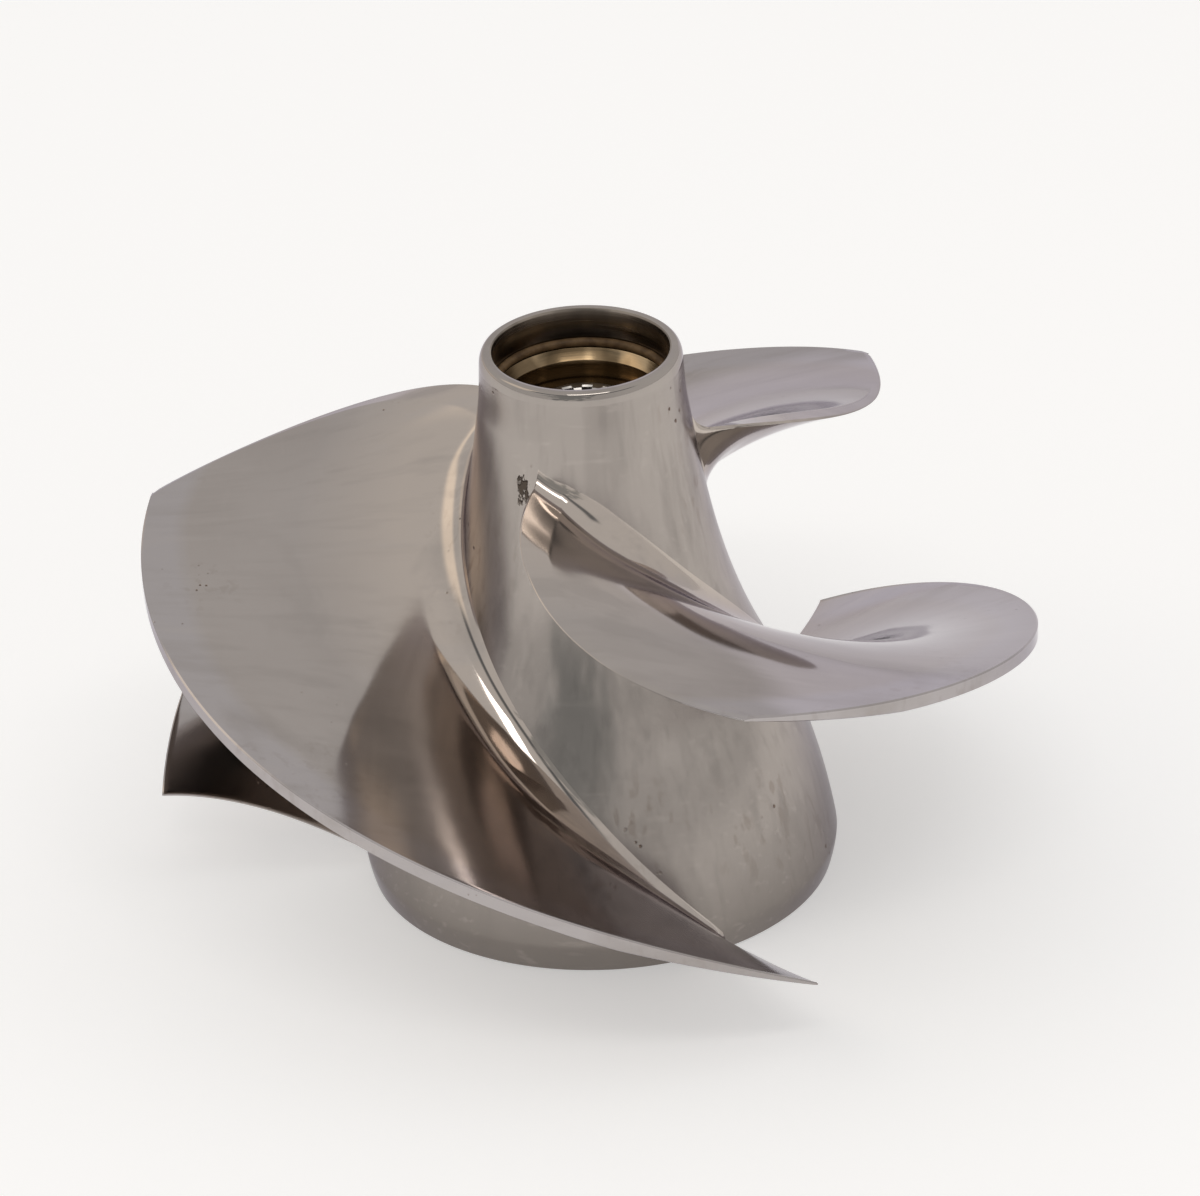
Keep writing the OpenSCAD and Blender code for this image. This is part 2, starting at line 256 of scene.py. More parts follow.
def blade_face(s, side):
    """Rows of (radius, height) from the hub to the rim, for side 1 above or -1 below."""
    root_r = root_radius(s)
    if side > 0:
        size = TOP_FILLET * fillet_share(s, TOP_LEAD)
        wide = size
    else:
        size = UNDER_FILLET * fillet_share(s, UNDER_LEAD)
        wide = size * (1 + (UNDER_SPREAD - 1) * (1 - ease(s / LEAD_SPAN)))

    def surf(r):
        offset = bevel(s, r) if side > 0 else -thickness(s, r, root_r)
        return np.maximum(sheet_z(s, r) + offset, BASE_GAP)

    meet_r = root_r.copy()
    for _ in range(30):
        meet_r = (meet_r + hub_r(surf(meet_r))) / 2
    meet_z = surf(meet_r)
    # the fillet is a cubic curve from the hub's wall to the blade's face
    hub_z = np.clip(meet_z + side * size, ROOT_END_Z, None)
    hub_end = np.stack([hub_r(hub_z), hub_z], -1)
    blade_end = np.stack([meet_r + wide, surf(meet_r + wide)], -1)
    h = 0.2
    hub_way = np.stack([hub_slope(hub_z), np.ones_like(hub_z)], -1) * -side
    blade_way = blade_end - np.stack([blade_end[:, 0] + h, surf(blade_end[:, 0] + h)], -1)
    hub_way /= np.linalg.norm(hub_way, axis=1, keepdims=True)
    blade_way /= np.linalg.norm(blade_way, axis=1, keepdims=True)
    c1 = hub_end + hub_way * FILLET_FULLNESS * np.abs(hub_z - meet_z)[:, None]
    c2 = blade_end + blade_way * FILLET_FULLNESS * wide[:, None]
    rows = []
    for depth, back in BURIED_ROWS:
        z = (hub_end - hub_way * back)[:, 1]
        rows.append(np.stack([hub_r(np.clip(z, 0.3, None)) - depth, z], -1))
    for u in np.linspace(0, 1, N_FILLET + 1):
        v = 1 - u
        rows.append(v**3 * hub_end + 3 * u * v * v * c1 + 3 * u * u * v * c2 + u**3 * blade_end)
    for share in np.arange(1, N_SPAN + 1) / N_SPAN:
        r = blade_end[:, 0] + (TIP_R - blade_end[:, 0]) * share
        rows.append(np.stack([r, surf(r)], -1))
    rows = np.array(rows)
    rows[..., 1] = np.maximum(rows[..., 1], BASE_GAP)
    return rows


def edge_wall(a, b, forward):
    """Rounded wall from point a to point b at one end of the chord."""
    points = []
    for q in np.arange(1, N_WALL) / N_WALL:
        point = a + (b - a) * q
        bulge = EDGE_BULGE * min(abs(a[2] - b[2]), EDGE_BULGE_H) * math.sin(math.pi * q)
        point[1] += forward * math.degrees(bulge / point[0])
        points.append(point)
    return points


def blade(name, turn):
    """One blade as a closed mesh, from its buried root to its chamfered rim."""
    w = np.linspace(0, 1, N_CHORD + 1)
    s = 0.55 * w + 0.45 * (1 - np.cos(math.pi * w)) / 2
    loops = []
    for upper, lower in zip(blade_face(s, 1), blade_face(s, -1)):
        top, low = (np.stack([f[:, 0], chord_t(s, f[:, 0]) * TIP_WRAP, f[:, 1]], -1)
                    for f in (upper, lower))
        trail, lead = edge_wall(top[-1], low[-1], 1), edge_wall(low[0], top[0], -1)
        loops.append(np.array(list(top) + trail + list(low[::-1]) + lead))
    cols = N_CHORD + 1
    low_start = cols + N_WALL - 1
    rim = loops[-1].copy()
    loops[-1][:, 0] -= RIM_CHAMFER_R
    top_side, low_side = slice(0, cols), slice(low_start, low_start + cols)
    height = rim[top_side, 2] - rim[low_side, 2][::-1]
    cut = np.minimum(RIM_CHAMFER_Z, height * 0.2)
    rim[top_side, 2] -= cut
    rim[low_side, 2] += cut[::-1]
    loops = np.array(loops + [rim])
    total, ring = loops.shape[:2]
    verts = around(loops[..., 0], np.radians(loops[..., 1] + turn), loops[..., 2]).reshape(-1, 3)
    faces = [(k * ring + i, (k + 1) * ring + i, (k + 1) * ring + (i + 1) % ring, k * ring + (i + 1) % ring)
             for k in range(total - 1) for i in range(ring)]

    def cap(base, outward):
        """Closes the loop that starts at vertex base."""
        parts = [(i, low_start + cols - 1 - i, low_start + cols - 2 - i, i + 1) for i in range(cols - 1)]
        parts += [tuple(range(low_start, cols - 2, -1)),
                  (0,) + tuple(range(ring - 1, low_start + cols - 2, -1))]
        for part in parts:
            faces.append(tuple(base + v for v in (part if outward else part[::-1])))

    cap((total - 1) * ring, True)
    cap(0, False)
    return make_mesh(name, verts, faces, 40.0)


# ---------------------------------------------------------------- materials
class Shade:
    """A procedural metal or rubber, built up node by node."""

    def __init__(self, name, metallic=1.0):
        self.mat = bpy.data.materials.new(name)
        self.mat.use_nodes = True
        self.nodes, self.links = self.mat.node_tree.nodes, self.mat.node_tree.links
        self.bsdf = self.nodes["Principled BSDF"]
        self.bsdf.inputs["Metallic"].default_value = metallic
        self.where = self.nodes.new("ShaderNodeTexCoord").outputs["Object"]
        self.colour = self.rough = self.normal = None

    def stretched(self, grain, turn=(0, 0, 0)):
        mapping = self.nodes.new("ShaderNodeMapping")
        mapping.inputs["Scale"].default_value = grain
        mapping.inputs["Rotation"].default_value = turn
        self.links.new(self.where, mapping.inputs["Vector"])
        return mapping.outputs["Vector"]

    def noise(self, scale, detail=3.0, vector=None, distortion=0.0):
        tex = self.nodes.new("ShaderNodeTexNoise")
        tex.inputs["Scale"].default_value = scale
        tex.inputs["Detail"].default_value = detail
        tex.inputs["Distortion"].default_value = distortion
        self.links.new(vector or self.where, tex.inputs["Vector"])
        return tex.outputs["Fac"]

    def distance(self, vector, point=(0, 0, 0)):
        node = self.nodes.new("ShaderNodeVectorMath")
        node.operation = "DISTANCE"
        node.inputs[1].default_value = point
        self.links.new(vector, node.inputs[0])
        return node.outputs["Value"]

    def height(self):
        split = self.nodes.new("ShaderNodeSeparateXYZ")
        self.links.new(self.where, split.inputs[0])
        return split.outputs[2]

    def span(self, value, low, high, to_low=0.0, to_high=1.0):
        ramp = self.nodes.new("ShaderNodeMapRange")
        limits = {"From Min": low, "From Max": high, "To Min": to_low, "To Max": to_high}
        for name, limit in limits.items():
            ramp.inputs[name].default_value = limit
        self.links.new(value, ramp.inputs["Value"])
        return ramp.outputs["Result"]

    def combine(self, kind, a, b):
        node = self.nodes.new("ShaderNodeMath")
        node.operation = kind
        for socket, value in zip(node.inputs, (a, b)):
            if isinstance(value, (int, float)):
                socket.default_value = value
            else:
                self.links.new(value, socket)
        return node.outputs[0]

    def base(self, share, first, second):
        """Mixes two colours into the ground tone."""
        mix = self.nodes.new("ShaderNodeMix")
        mix.data_type = "RGBA"
        self.links.new(share, mix.inputs["Factor"])
        for name, value in (("A", first), ("B", second)):
            socket = [i for i in mix.inputs if i.name == name and i.type == "RGBA"][0]
            if isinstance(value, tuple):
                socket.default_value = (*value, 1)
            else:
                self.links.new(value, socket)
        self.colour = [o for o in mix.outputs if o.type == "RGBA"][0]

    def tint(self, share, colour, factor=1.0):
        """Lays a colour, made darker or lighter by factor, over what is there."""
        self.base(share, self.colour, tuple(factor * c for c in colour))

    def relief(self, height, strength, distance):
        bump = self.nodes.new("ShaderNodeBump")
        bump.inputs["Strength"].default_value = strength
        bump.inputs["Distance"].default_value = distance
        self.links.new(height, bump.inputs["Height"])
        if self.normal:
            self.links.new(self.normal, bump.inputs["Normal"])
        self.normal = bump.outputs["Normal"]

    def finish(self, roughness=None):
        if self.colour:
            self.links.new(self.colour, self.bsdf.inputs["Base Color"])
        if self.rough:
            self.links.new(self.rough, self.bsdf.inputs["Roughness"])
        elif roughness is not None:
            self.bsdf.inputs["Roughness"].default_value = roughness
        if self.normal:
            self.links.new(self.normal, self.bsdf.inputs["Normal"])
        return self.mat


# texture scales, per metre
CLOUD, CLOUD_LOW, CLOUD_HIGH = 28.0, 0.3, 0.7
STREAK, STAIN, RUB, RUB_PATCH = 150.0, 34.0, 520.0, 30.0
FINE, CROSS, WEAR, WAVE = 420.0, 700.0, 22.0, 26.0
PIT, PIT_PATCH, MARK_GRAIN = 420.0, 60.0, 1300.0
UPRIGHT = 130.0

RUB_BROWN = (0.22, 0.17, 0.135)
PIT_BROWN = (0.16, 0.11, 0.08)
ROOT_PIT_SHADE_BROWN = (0.085, 0.068, 0.055)
HUB_BASE_SHADE_TONE = (0.25, 0.225, 0.205)
ROOT_REFLECTION_TONE = (0.57, 0.50, 0.44)
RIM_REFLECTION_TONE = (0.455, 0.425, 0.425)
EDGE_TINT = (0.72, 0.70, 0.75)
ROOT_REFLECTION_END, ROOT_REFLECTION_FADE = 0.034, 0.052
RIM_REFLECTION_START, RIM_REFLECTION_FULL = 0.071, 0.074
HUB_BASE_SHADE_START, HUB_BASE_SHADE_END = 0.004, 0.036
MARK_TURN, MARK_R, MARK_Z, MARK_SIZE, MARK_SQUASH = -52.6, 20.0, 83.6, 2.6, 0.5


def pits(shade, size):
    """Share of small casting pits, which come in patches."""
    cells = shade.nodes.new("ShaderNodeTexVoronoi")
    cells.inputs["Scale"].default_value = PIT
    shade.links.new(shade.where, cells.inputs["Vector"])
    spots = shade.span(cells.outputs["Distance"], size * 0.6, size, 1.0, 0.0)
    patch = shade.span(shade.noise(PIT_PATCH, 2.0), 0.62, 0.68)
    return shade.combine("MULTIPLY", spots, patch)


def root_pit_shade_share(shade):
    """Share of the painted shade in a small pit beside the root of each leading edge, where the edge meets
    the hub.
    """
    total = None
    for k in range(BLADES):
        angle = math.radians(FIRST_ANGLE + BLADE_STEP * k + MARK_TURN)
        point = (MARK_R * MM * math.cos(angle), MARK_R * MM * math.sin(angle),
                 MARK_Z * MM * MARK_SQUASH)
        away = shade.distance(shade.stretched((1.0, 1.0, MARK_SQUASH)), point)
        near = shade.span(away, MARK_SIZE * 0.35 * MM, MARK_SIZE * MM, 1.0, 0.0)
        total = shade.combine("MAXIMUM", total, near) if total else near
    grain = shade.noise(MARK_GRAIN, 4.0, shade.stretched((1.0, 1.0, MARK_SQUASH)))
    return shade.span(shade.combine("MULTIPLY", total, grain), 0.36, 0.45)


def polished_steel(name, dark, light, rough, grain, turn, scratch, wave,
                   on_hub=False, on_blade=False):
    """Hand-polished stainless steel: cloudy tone, streaks, stains, fine scratches and a few pits.
    The hub has stronger streaks, rubs, scratches and pits, painted shade that darkens it towards its base
    and painted shade in a pit beside each leading-edge root; the blades have a painted lighter, warmer
    reflection towards the hub and a painted paler reflection along the rim."""
    shade = Shade(name)
    cloud = shade.noise(CLOUD, 4.0)
    shade.base(shade.span(cloud, 0.34, 0.68), dark, light)
    if on_blade:
        radius = shade.distance(shade.stretched((1.0, 1.0, 0.0)))
        # painted reflection: the blades are lighter and warmer towards the hub
        shade.tint(shade.span(radius, ROOT_REFLECTION_END, ROOT_REFLECTION_FADE, 0.75, 0.0), ROOT_REFLECTION_TONE)
        # painted reflection: a paler, pinker band along the rim of each blade
        uneven = shade.span(cloud, CLOUD_LOW, CLOUD_HIGH, -0.001, 0.001)
        edge = shade.combine("ADD", radius, uneven)
        shade.tint(shade.span(edge, RIM_REFLECTION_START, RIM_REFLECTION_FULL, 0.0, 0.8), RIM_REFLECTION_TONE)
    streak = shade.noise(STREAK, 4.0, shade.stretched(grain, turn))
    shade.tint(shade.span(streak, 0.56, 0.66, 0.0, 0.6 if on_hub else 0.3), dark, 0.84)
    shade.tint(shade.span(streak, 0.44, 0.34, 0.0, 0.5 if on_hub else 0.3), light, 1.1)
    shade.tint(shade.span(shade.noise(STAIN, 5.0, distortion=0.6), 0.57, 0.70, 0.0, 0.45), dark, 0.8)
    rub = shade.noise(RUB, 3.0, shade.stretched((1.0, 1.0, 0.3), (0.5, 0.4, 0)))
    rub_patch = shade.span(shade.noise(RUB_PATCH, 2.0), 0.54, 0.62)
    rub = shade.combine("MULTIPLY", shade.span(rub, 0.56, 0.64), rub_patch)
    shade.tint(shade.combine("MULTIPLY", rub, 0.4 if on_hub else 0.12), RUB_BROWN)
    if on_hub:
        # painted shade: the hub's colour darkens towards its base
        uneven = shade.span(cloud, CLOUD_LOW, CLOUD_HIGH, -0.005, 0.005)
        shade_rise = shade.combine("ADD", shade.height(), uneven)
        shade.tint(shade.span(shade_rise, HUB_BASE_SHADE_START, HUB_BASE_SHADE_END, 0.85, 0.0), HUB_BASE_SHADE_TONE)
    fine = shade.noise(FINE, 3.0, shade.stretched(grain, turn))
    cross = shade.noise(CROSS, 2.0, shade.stretched((grain[2], grain[0], grain[1]), (0.4, 0.9, 0.2)))
    shade.tint(shade.span(fine, 0.52, 0.72, 0.0, 0.38 if on_hub else 0.1), dark, 0.7)
    shade.tint(shade.span(cross, 0.60, 0.74, 0.0, 0.2 if on_hub else 0.05), light, 1.2)
    marks = shade.combine("ADD", shade.combine("MULTIPLY", fine, 0.7),
                          shade.combine("MULTIPLY", cross, 0.3))
    marks = shade.combine("MULTIPLY", marks, shade.span(shade.noise(WEAR, 3.0), 0.42, 0.62))
    shade.rough = shade.combine("ADD", shade.span(cloud, CLOUD_LOW, CLOUD_HIGH, *rough),
                                shade.combine("MULTIPLY", marks, 0.09))
    holes = pits(shade, 0.17 if on_hub else 0.11)
    shade.tint(holes, PIT_BROWN)
    shade.relief(marks, scratch, 0.00005)
    shade.relief(shade.noise(WAVE, 2.0), 0.5, wave)
    shade.relief(holes, 0.5, -0.0002)
    if on_hub:
        # painted shade in the pit beside each leading-edge root; the same share also dents the surface with
        # a bump
        pit_shade = root_pit_shade_share(shade)
        shade.tint(pit_shade, ROOT_PIT_SHADE_BROWN)
        shade.relief(pit_shade, 0.8, -0.0004)
    shade.bsdf.inputs["Specular Tint"].default_value = (*EDGE_TINT, 1)
    return shade.finish()


def turned_steel(name, dark, light, rough, rings=2600.0, bands=0.0):
    """Machined steel with fine turning rings, which follow the height, and darker upright bands."""
    shade = Shade(name)
    shade.base(shade.span(shade.noise(90.0, 3.0), 0.35, 0.65), dark, light)
    upright = shade.noise(UPRIGHT, 2.0, shade.stretched((1.0, 1.0, 0.1)))
    shade.tint(shade.span(upright, 0.42, 0.56, 0.0, bands), dark, 0.35)
    lines = shade.noise(rings, 2.0, shade.stretched((0.02, 0.02, 1.0)))
    shade.rough = shade.span(lines, 0.3, 0.7, rough, rough + 0.1)
    shade.relief(lines, 0.25, 0.00003)
    return shade.finish()


def cast_surface(name, dark, light):
    """As-cast steel, blasted but not polished."""
    shade = Shade(name)
    shade.base(shade.span(shade.noise(140.0, 5.0), 0.3, 0.7), dark, light)
    shade.rough = shade.span(shade.noise(300.0, 3.0), 0.3, 0.7, 0.42, 0.6)
    shade.relief(shade.noise(900.0, 3.0), 0.35, 0.0002)
    return shade.finish()


def rubber(name, dark, light):
    shade = Shade(name, 0.0)
    shade.base(shade.span(shade.noise(500.0, 4.0), 0.35, 0.65), dark, light)
    shade.relief(shade.noise(1500.0, 2.0), 0.3, 0.00008)
    shade.bsdf.inputs["Specular IOR Level"].default_value = 0.25
    return shade.finish(0.55)


UPRIGHT_GRAIN, UPRIGHT_TURN = (1.0, 1.0, 0.08), (0.15, 0.1, 0)
ACROSS_GRAIN, ACROSS_TURN = (0.1, 1.0, 1.0), (0, 0, 0.6)
HUB_DARK, HUB_LIGHT = (0.375, 0.338, 0.31), (0.435, 0.393, 0.36)
HUB_STEEL = polished_steel("hub_steel", HUB_DARK, HUB_LIGHT, (0.13, 0.23), UPRIGHT_GRAIN, UPRIGHT_TURN,
                           scratch=0.35, wave=0.0004, on_hub=True)
BLADE_STEEL = polished_steel("blade_steel", (0.41, 0.37, 0.345), (0.455, 0.415, 0.39), (0.05, 0.11),
                             ACROSS_GRAIN, ACROSS_TURN, scratch=0.14, wave=0.0006, on_blade=True)
LIP_STEEL = polished_steel("lip_steel", HUB_DARK, HUB_LIGHT, (0.04, 0.08), UPRIGHT_GRAIN, UPRIGHT_TURN,
                           scratch=0.08, wave=0.0001)
BORE_STEEL = turned_steel("bore_steel", (0.25, 0.21, 0.175), (0.38, 0.33, 0.28), 0.18, bands=0.5)
SEAT_STEEL = turned_steel("seat_bronze", (0.36, 0.25, 0.14), (0.60, 0.45, 0.28), 0.16, bands=0.85)
SLEEVE_STEEL = turned_steel("sleeve_steel", (0.48, 0.45, 0.42), (0.58, 0.55, 0.52), 0.26)
BOSS_STEEL = turned_steel("boss_steel", (0.44, 0.41, 0.38), (0.54, 0.51, 0.48), 0.24, rings=1400.0)
CAST_STEEL = cast_surface("cast_steel", (0.36, 0.33, 0.31), (0.46, 0.43, 0.40))
BROWN_RUBBER = rubber("brown_rubber", (0.08, 0.045, 0.02), (0.17, 0.105, 0.05))
BLACK_RUBBER = rubber("black_rubber", (0.012, 0.012, 0.012), (0.035, 0.034, 0.033))


def dress(obj, slot, node, *mats):
    """Gives a piece its materials and its place in the frame."""
    for m in mats:
        obj.data.materials.append(m)
    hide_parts(node)
    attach(obj, "root")


# ---------------------------------------------------------------- hub
WALL, BOSS_R, POCKET_R = 4.0, 15.0, 8.0
BORE_R, GROOVE_R, SEAT_R, SLEEVE_R = 15.65, 16.2, 13.85, 9.2
BORE_Z, GROOVE_Z, SEAT_Z, SLEEVE_TOP, FLOOR_Z = 96.9, 95.2, 93.2, 91.3, 90.5
SLEEVE_Z, BOSS_TOP, CAVITY_TOP = 64.3, 62.3, 54.3
TAIL_CORNER, WALL_CORNER, BORE_CORNER, SLEEVE_CORNER = 0.25, 0.3, 0.35, 0.25
SMALL_CORNER = 0.12
HUB_SLOT, BORE_SLOT, CAST_SLOT, FLOOR_SLOT, LIP_SLOT = range(5)


def hub_casting(name):
    """The hub, turned round its axis: outside, lip, stepped bore and hollow rear.
    Also returns the material slot of each face."""
    tail_r = float(hub_r(0))
    outside = [(tail_r - TAIL_CORNER, 0.0)]
    outside += [(float(hub_r(z)), z) for z in np.linspace(TAIL_CORNER, LIP_Z, 240)]
    lip = [(NOSE_R - LIP_W + LIP_W * x, LIP_Z + LIP_H * y) for x, y in arc_points(0, 0, 1, 4, 90, 20)]
    bore = [(BORE_R + BORE_CORNER, HUB_LEN), (BORE_R + SMALL_CORNER, HUB_LEN - SMALL_CORNER),
            (BORE_R, HUB_LEN - BORE_CORNER), (BORE_R, BORE_Z + SMALL_CORNER),
            (BORE_R + SMALL_CORNER, BORE_Z), (GROOVE_R, BORE_Z), (GROOVE_R, GROOVE_Z), (BORE_R, GROOVE_Z)]
    floor_side = [(BORE_R, FLOOR_Z), (SLEEVE_R + SLEEVE_CORNER, FLOOR_Z)]
    inner = [(SLEEVE_R, FLOOR_Z - SLEEVE_CORNER), (SLEEVE_R, SLEEVE_Z), (POCKET_R, SLEEVE_Z),
             (POCKET_R, BOSS_TOP), (BOSS_R, BOSS_TOP)]
    hollow = [(BOSS_R, CAVITY_TOP)]
    hollow += [(float(hub_r(z)) - WALL, z) for z in np.linspace(CAVITY_TOP, WALL_CORNER, 80)]
    hollow += [(tail_r - WALL + WALL_CORNER, 0.0)]
    slots = ([HUB_SLOT] * (len(outside) - 1) + [LIP_SLOT] * (len(lip) + 1) + [BORE_SLOT] * len(bore)
             + [FLOOR_SLOT] * len(floor_side) + [HUB_SLOT] * len(inner) + [CAST_SLOT] * len(hollow))
    casting = lathe(name, outside + lip + bore + floor_side + inner + hollow)
    return casting, np.tile(slots, LATHE_SEGMENTS)


hub, hub_slots = hub_casting("hub_casting")
dress(hub, "cast_steel", "hub_shell", HUB_STEEL, BORE_STEEL, CAST_STEEL, SEAT_STEEL, LIP_STEEL)
# the slots are set once the materials are in place
hub.data.polygons.foreach_set("material_index", hub_slots)

for i in range(BLADES):
    piece = blade("blade_casting_%d" % (i + 1), FIRST_ANGLE + BLADE_STEP * i)
    dress(piece, "blade_steel", "blade_%d" % (i + 1), BLADE_STEEL)

# ---------------------------------------------------------------- nose bore and drive
SEAT_MARGIN = 0.4


def seal_seat(name):
    """The golden seat at the bottom of the bore, with a second wall below its rounded edge."""
    outer = [(SEAT_R + SEAT_MARGIN, FLOOR_Z), (BORE_R, FLOOR_Z), (BORE_R, GROOVE_Z)]
    rounded = arc_points(BORE_R - 0.62, GROOVE_Z - 0.12, 0.12, 90, 150, 4)
    edge = arc_points(SEAT_R + 0.16, SEAT_Z - 0.1, 0.16, 120, 180, 5)
    low_wall = [(SEAT_R, SLEEVE_TOP + 0.05), (SEAT_R + 0.06, SLEEVE_TOP), (SEAT_R + SEAT_MARGIN, SLEEVE_TOP)]
    return lathe(name, outer + rounded + edge + low_wall)


dress(seal_seat("seal_seat_ring"), "seat_bronze", "seal_seat", SEAT_STEEL)

SPLINES, NOTCH_R, SPLINE_TIP_R, NOTCH_W = 13, 7.7, 6.6, 1.8


def level_rows(rows, angle):
    """Stacks level loops of points, each given as (radius, height)."""
    return np.concatenate([around(r, angle, np.full(len(angle), z)) for r, z in rows])


def spline_ring(name):
    """The drive sleeve: a turned bush with straight-sided notches down its bore."""
    step = 360 / SPLINES
    notch_half = math.degrees(math.asin(NOTCH_W / 2 / NOTCH_R))
    tooth_start = math.degrees(math.asin(NOTCH_W / 2 / SPLINE_TIP_R))
    outline = []
    for i in range(SPLINES):
        outline += [(i * step + a, NOTCH_R) for a in np.linspace(-notch_half, notch_half, 5)]
        outline += [(i * step + a, SPLINE_TIP_R) for a in np.linspace(tooth_start, step - tooth_start, 9)]
    n = len(outline)
    angle = np.radians([a for a, _ in outline])
    bore = np.array([r for _, r in outline])
    outer = np.full(n, SLEEVE_R)
    rows = [(bore, SLEEVE_Z), (bore, SLEEVE_TOP - 0.3), (bore + 0.25, SLEEVE_TOP), (outer - 0.5, SLEEVE_TOP),
            (outer - 0.15, SLEEVE_TOP - 0.15), (outer, SLEEVE_TOP - 0.5), (outer, SLEEVE_Z)]
    faces = []
    for k in range(len(rows)):
        low, high = k * n, (k + 1) % len(rows) * n
        faces += [(high + i, high + (i + 1) % n, low + (i + 1) % n, low + i) for i in range(n)]
    return make_mesh(name, level_rows(rows, angle), faces, 25.0)


dress(spline_ring("spline_bush"), "machined_steel", "spline_sleeve", SLEEVE_STEEL)

THREAD_R, THREAD_LEN, THREAD_PITCH, THREAD_DEPTH = 9.19, 28.0, 1.5, 0.8
THREAD_START, THREAD_RUN_OUT, MOUTH_W, ROWS_PER_PITCH = 0.6, 0.4, 0.6, 8
RELIEF_R, RELIEF_TOP, FOOT_CHAMFER = 10.19, 31.0, 0.5


def threaded_boss(name):
    """The boss in the hollow rear, with a real helical thread in its bore."""
    sides = 120
    thread_end = THREAD_LEN - THREAD_RUN_OUT
    z = np.linspace(THREAD_START, thread_end, int(THREAD_LEN / THREAD_PITCH * ROWS_PER_PITCH))
    a = np.linspace(0, 2 * math.pi, sides, endpoint=False)
    wave = (z[:, None] / THREAD_PITCH + a[None, :] / (2 * math.pi)) % 1
    crest = np.clip((0.5 - np.abs(wave - 0.5)) * 2 - 0.15, 0, 0.7) / 0.7
    fade = np.clip(np.minimum(z - THREAD_START, thread_end - z) / THREAD_PITCH, 0, 1)
    bore = THREAD_R + THREAD_DEPTH * crest * fade[:, None]
    below = [(THREAD_R + MOUTH_W, 0.0), (THREAD_R, THREAD_START)]
    above = [(THREAD_R, THREAD_LEN), (RELIEF_R, THREAD_LEN), (RELIEF_R, RELIEF_TOP), (POCKET_R, RELIEF_TOP),
             (POCKET_R, BOSS_TOP), (BOSS_R, BOSS_TOP), (BOSS_R, FOOT_CHAMFER), (BOSS_R - FOOT_CHAMFER, 0.0)]
    rows = below + list(zip(bore, z)) + above
    faces = []
    for k in range(len(rows)):
        low, high = k * sides, (k + 1) % len(rows) * sides
        faces += [(low + i, high + i, high + (i + 1) % sides, low + (i + 1) % sides) for i in range(sides)]
    return make_mesh(name, level_rows(rows, a), faces)


dress(threaded_boss("shaft_boss_threaded"), "machined_steel", "shaft_boss", BOSS_STEEL)

DAMPER_LOW, DAMPER_HIGH, DAMPER_HOLE_R = 48.3, 60.3, 2.0
DAMPER_CORNER, RIB_DEPTH, RIB_PITCH, RIB_END = 0.5, 0.25, 3, 0.8


def damper_plug(name):
    """The ribbed rubber plug in the pocket above the thread."""
    profile = [(DAMPER_HOLE_R + DAMPER_CORNER, DAMPER_LOW), (POCKET_R - RIB_END, DAMPER_LOW)]
    for z in np.linspace(DAMPER_LOW + RIB_END, DAMPER_HIGH - RIB_END, 49):
        wave = math.cos(2 * math.pi * (z - DAMPER_LOW) / RIB_PITCH)
        profile.append((POCKET_R - RIB_DEPTH + RIB_DEPTH * wave, z))
    profile += [(POCKET_R - RIB_END, DAMPER_HIGH), (DAMPER_HOLE_R + DAMPER_CORNER, DAMPER_HIGH),
                (DAMPER_HOLE_R, DAMPER_HIGH - DAMPER_CORNER), (DAMPER_HOLE_R, DAMPER_LOW + DAMPER_CORNER)]
    return lathe(name, profile, 96)


dress(damper_plug("damper_plug"), "black_rubber", "shaft_damper", BLACK_RUBBER)

# the O-ring is shown as the CAD made it, with its rubber
nose_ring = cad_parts["nose_ring"]
nose_ring.data.materials.clear()
nose_ring.data.materials.append(BROWN_RUBBER)

# ---------------------------------------------------------------- stage, light and camera
FLOOR_HALF = 4.0
FLOOR_GAP = 0.0002
FLOOR_GLOW = 0.36


def stage_floor(name):
    """A pale floor that glows a little, as the photo's background does."""
    mesh = bpy.data.meshes.new(name)
    corners = [(-1, -1), (1, -1), (1, 1), (-1, 1)]
    mesh.from_pydata([(x * FLOOR_HALF, y * FLOOR_HALF, 0) for x, y in corners], [], [(0, 1, 2, 3)])
    obj = bpy.data.objects.new(name, mesh)
    obj.location.z = -FLOOR_GAP
    bpy.context.collection.objects.link(obj)
    paint = Shade("floor_paint", 0.0)
    paint.bsdf.inputs["Base Color"].default_value = (0.78, 0.775, 0.77, 1)
    paint.bsdf.inputs["Specular IOR Level"].default_value = 0.1
    paint.bsdf.inputs["Emission Color"].default_value = (1, 1, 1, 1)
    paint.bsdf.inputs["Emission Strength"].default_value = FLOOR_GLOW
    mesh.materials.append(paint.finish(0.9))
    return obj


stage_floor("floor")


def softbox(name, place, target, size, power, colour):
    """A rectangular light at place that points at target."""
    light = bpy.data.lights.new(name, "AREA")
    light.shape = "RECTANGLE"
    light.size, light.size_y = size
    light.energy = power
    light.color = colour
    obj = bpy.data.objects.new(name, light)
    obj.location = place
    obj.rotation_euler = (Vector(target) - Vector(place)).to_track_quat("-Z", "Y").to_euler()
    bpy.context.collection.objects.link(obj)


softbox("front_box", (0.12, -0.80, 1.25), (0, 0, 0.05), (0.9, 0.2), 2.3, (1.0, 0.98, 0.95))

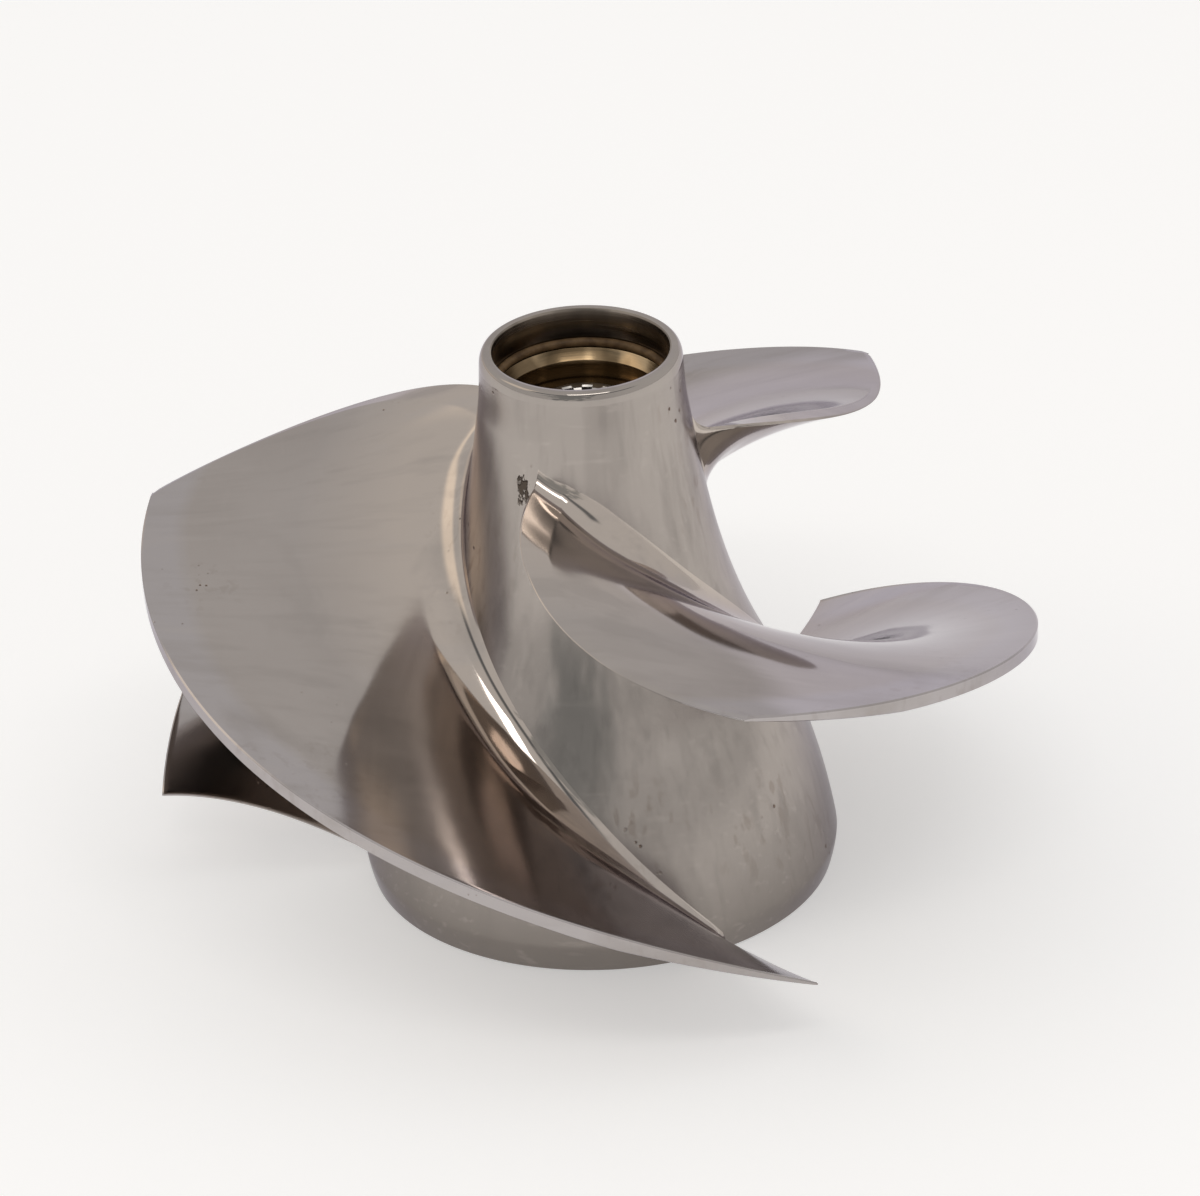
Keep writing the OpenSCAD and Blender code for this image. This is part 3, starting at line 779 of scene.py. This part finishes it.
# Light colours by direction. A region is a colour and, for x, y and z of the direction,
# its low end, high end and half the width over which it fades.
TENT = (0.70, 0.69, 0.68)
REGIONS = {
    "gap": ((0.16, 0.17, 0.18), (-0.75, 0.8, 0.1), (-2.0, -0.3, 0.1), (0.56, 0.66, 0.03)),
    "stand": ((0.36, 0.37, 0.37), (-0.52, 0.12, 0.015), (-2.0, 0.0, 0.05), (0.08, 0.56, 0.015)),
    "warm_glow": ((0.86, 0.80, 0.73), (-1.2, -0.1, 0.15), (0.3, 2.0, 0.2), (-0.1, 0.22, 0.06)),
    "back_glow": ((0.93, 0.92, 0.95), (-0.35, 0.5, 0.1), (0.5, 2.0, 0.1), (0.0, 0.25, 0.04)),
    "left_sky": ((1.25, 1.14, 1.0), (-0.95, -0.42, 0.06), (-0.3, 0.34, 0.08), (0.5, 0.78, 0.06)),
}
UNEVEN_REGION = "stand"
UNEVEN_SCALE, UNEVEN_SHIFT = 6.5, 0.2


class Studio:
    """A tent of even light with darker and brighter regions, built up node by node."""

    def __init__(self, name):
        self.world = bpy.data.worlds.new(name)
        self.world.use_nodes = True
        self.nodes, self.links = self.world.node_tree.nodes, self.world.node_tree.links
        self.direction = self.nodes.new("ShaderNodeTexCoord").outputs["Generated"]
        split = self.nodes.new("ShaderNodeSeparateXYZ")
        self.links.new(self.direction, split.inputs[0])
        self.axes = split.outputs
        self.sky = TENT

    def ramp(self, value, from_min, from_max, to_min=0.0, to_max=1.0, smooth=False):
        node = self.nodes.new("ShaderNodeMapRange")
        if smooth:
            node.interpolation_type = "SMOOTHSTEP"
        limits = {"From Min": from_min, "From Max": from_max, "To Min": to_min, "To Max": to_max}
        for name, limit in limits.items():
            node.inputs[name].default_value = limit
        self.links.new(value, node.inputs["Value"])
        return node.outputs["Result"]

    def combine(self, kind, a, b):
        node = self.nodes.new("ShaderNodeMath")
        node.operation = kind
        self.links.new(a, node.inputs[0])
        self.links.new(b, node.inputs[1])
        return node.outputs[0]

    def band(self, value, low, high, soft):
        """1 between low and high, fading over soft on both sides."""
        up = self.ramp(value, low - soft, low + soft, smooth=True)
        down = self.ramp(value, high + soft, high - soft, smooth=True)
        return self.combine("MULTIPLY", up, down)

    def uneven_shift(self):
        """Small shift that roughens the outline of a region."""
        tex = self.nodes.new("ShaderNodeTexNoise")
        tex.inputs["Scale"].default_value = UNEVEN_SCALE
        tex.inputs["Detail"].default_value = 3.0
        self.links.new(self.direction, tex.inputs["Vector"])
        return self.ramp(tex.outputs["Fac"], 0.3, 0.7, -UNEVEN_SHIFT, UNEVEN_SHIFT)

    def add(self, colour, x_range, y_range, z_range, uneven):
        """Lays a region over the light so far."""
        x, y, z = self.axes
        if uneven:
            shift = self.uneven_shift()
            x, z = self.combine("ADD", x, shift), self.combine("ADD", z, shift)
        share = self.combine("MULTIPLY", self.band(x, *x_range), self.band(y, *y_range))
        share = self.combine("MULTIPLY", share, self.band(z, *z_range))
        mix = self.nodes.new("ShaderNodeMix")
        mix.data_type = "RGBA"
        factor, below, above = (mix.inputs[i] for i in (0, 6, 7))
        self.links.new(share, factor)
        if isinstance(self.sky, tuple):
            below.default_value = (*self.sky, 1)
        else:
            self.links.new(self.sky, below)
        above.default_value = (*colour, 1)
        self.sky = mix.outputs[2]

    def finish(self):
        background = self.nodes["Background"]
        self.links.new(self.sky, background.inputs["Color"])
        background.inputs["Strength"].default_value = 1.0
        bpy.context.scene.world = self.world


studio = Studio("studio")
for region, (colour, *ranges) in REGIONS.items():
    studio.add(colour, *ranges, uneven=region == UNEVEN_REGION)
studio.finish()

CAM_RANGE, CAM_TILT, CAM_YAW, CAM_ROLL, CAM_AIM_Z = 1.3047, 28.625, 0.077, -2.47, 0.05242
SENSOR_W, LENS = 36.0, 218.7


def photo_camera(name):
    """A camera that looks down on the nose at CAM_TILT, turned and rolled a little."""
    tilt, yaw, roll = (math.radians(a) for a in (CAM_TILT, CAM_YAW, CAM_ROLL))
    ahead = Vector((math.sin(yaw) * math.cos(tilt), math.cos(yaw) * math.cos(tilt), -math.sin(tilt)))
    level = Vector((math.cos(yaw), -math.sin(yaw), 0.0))
    upright = level.cross(ahead)
    right = level * math.cos(roll) + upright * math.sin(roll)
    up = upright * math.cos(roll) - level * math.sin(roll)
    place = Vector((0.0, -CAM_RANGE * math.cos(tilt), CAM_RANGE * math.sin(tilt) + CAM_AIM_Z))
    data = bpy.data.cameras.new(name)
    data.sensor_width, data.lens = SENSOR_W, LENS
    obj = bpy.data.objects.new(name, data)
    obj.matrix_world = Matrix((
        (right.x, up.x, -ahead.x, place.x),
        (right.y, up.y, -ahead.y, place.y),
        (right.z, up.z, -ahead.z, place.z),
        (0, 0, 0, 1)))
    bpy.context.collection.objects.link(obj)
    return obj


bpy.context.scene.camera = photo_camera("camera")
bpy.context.scene.view_settings.view_transform = "Standard"
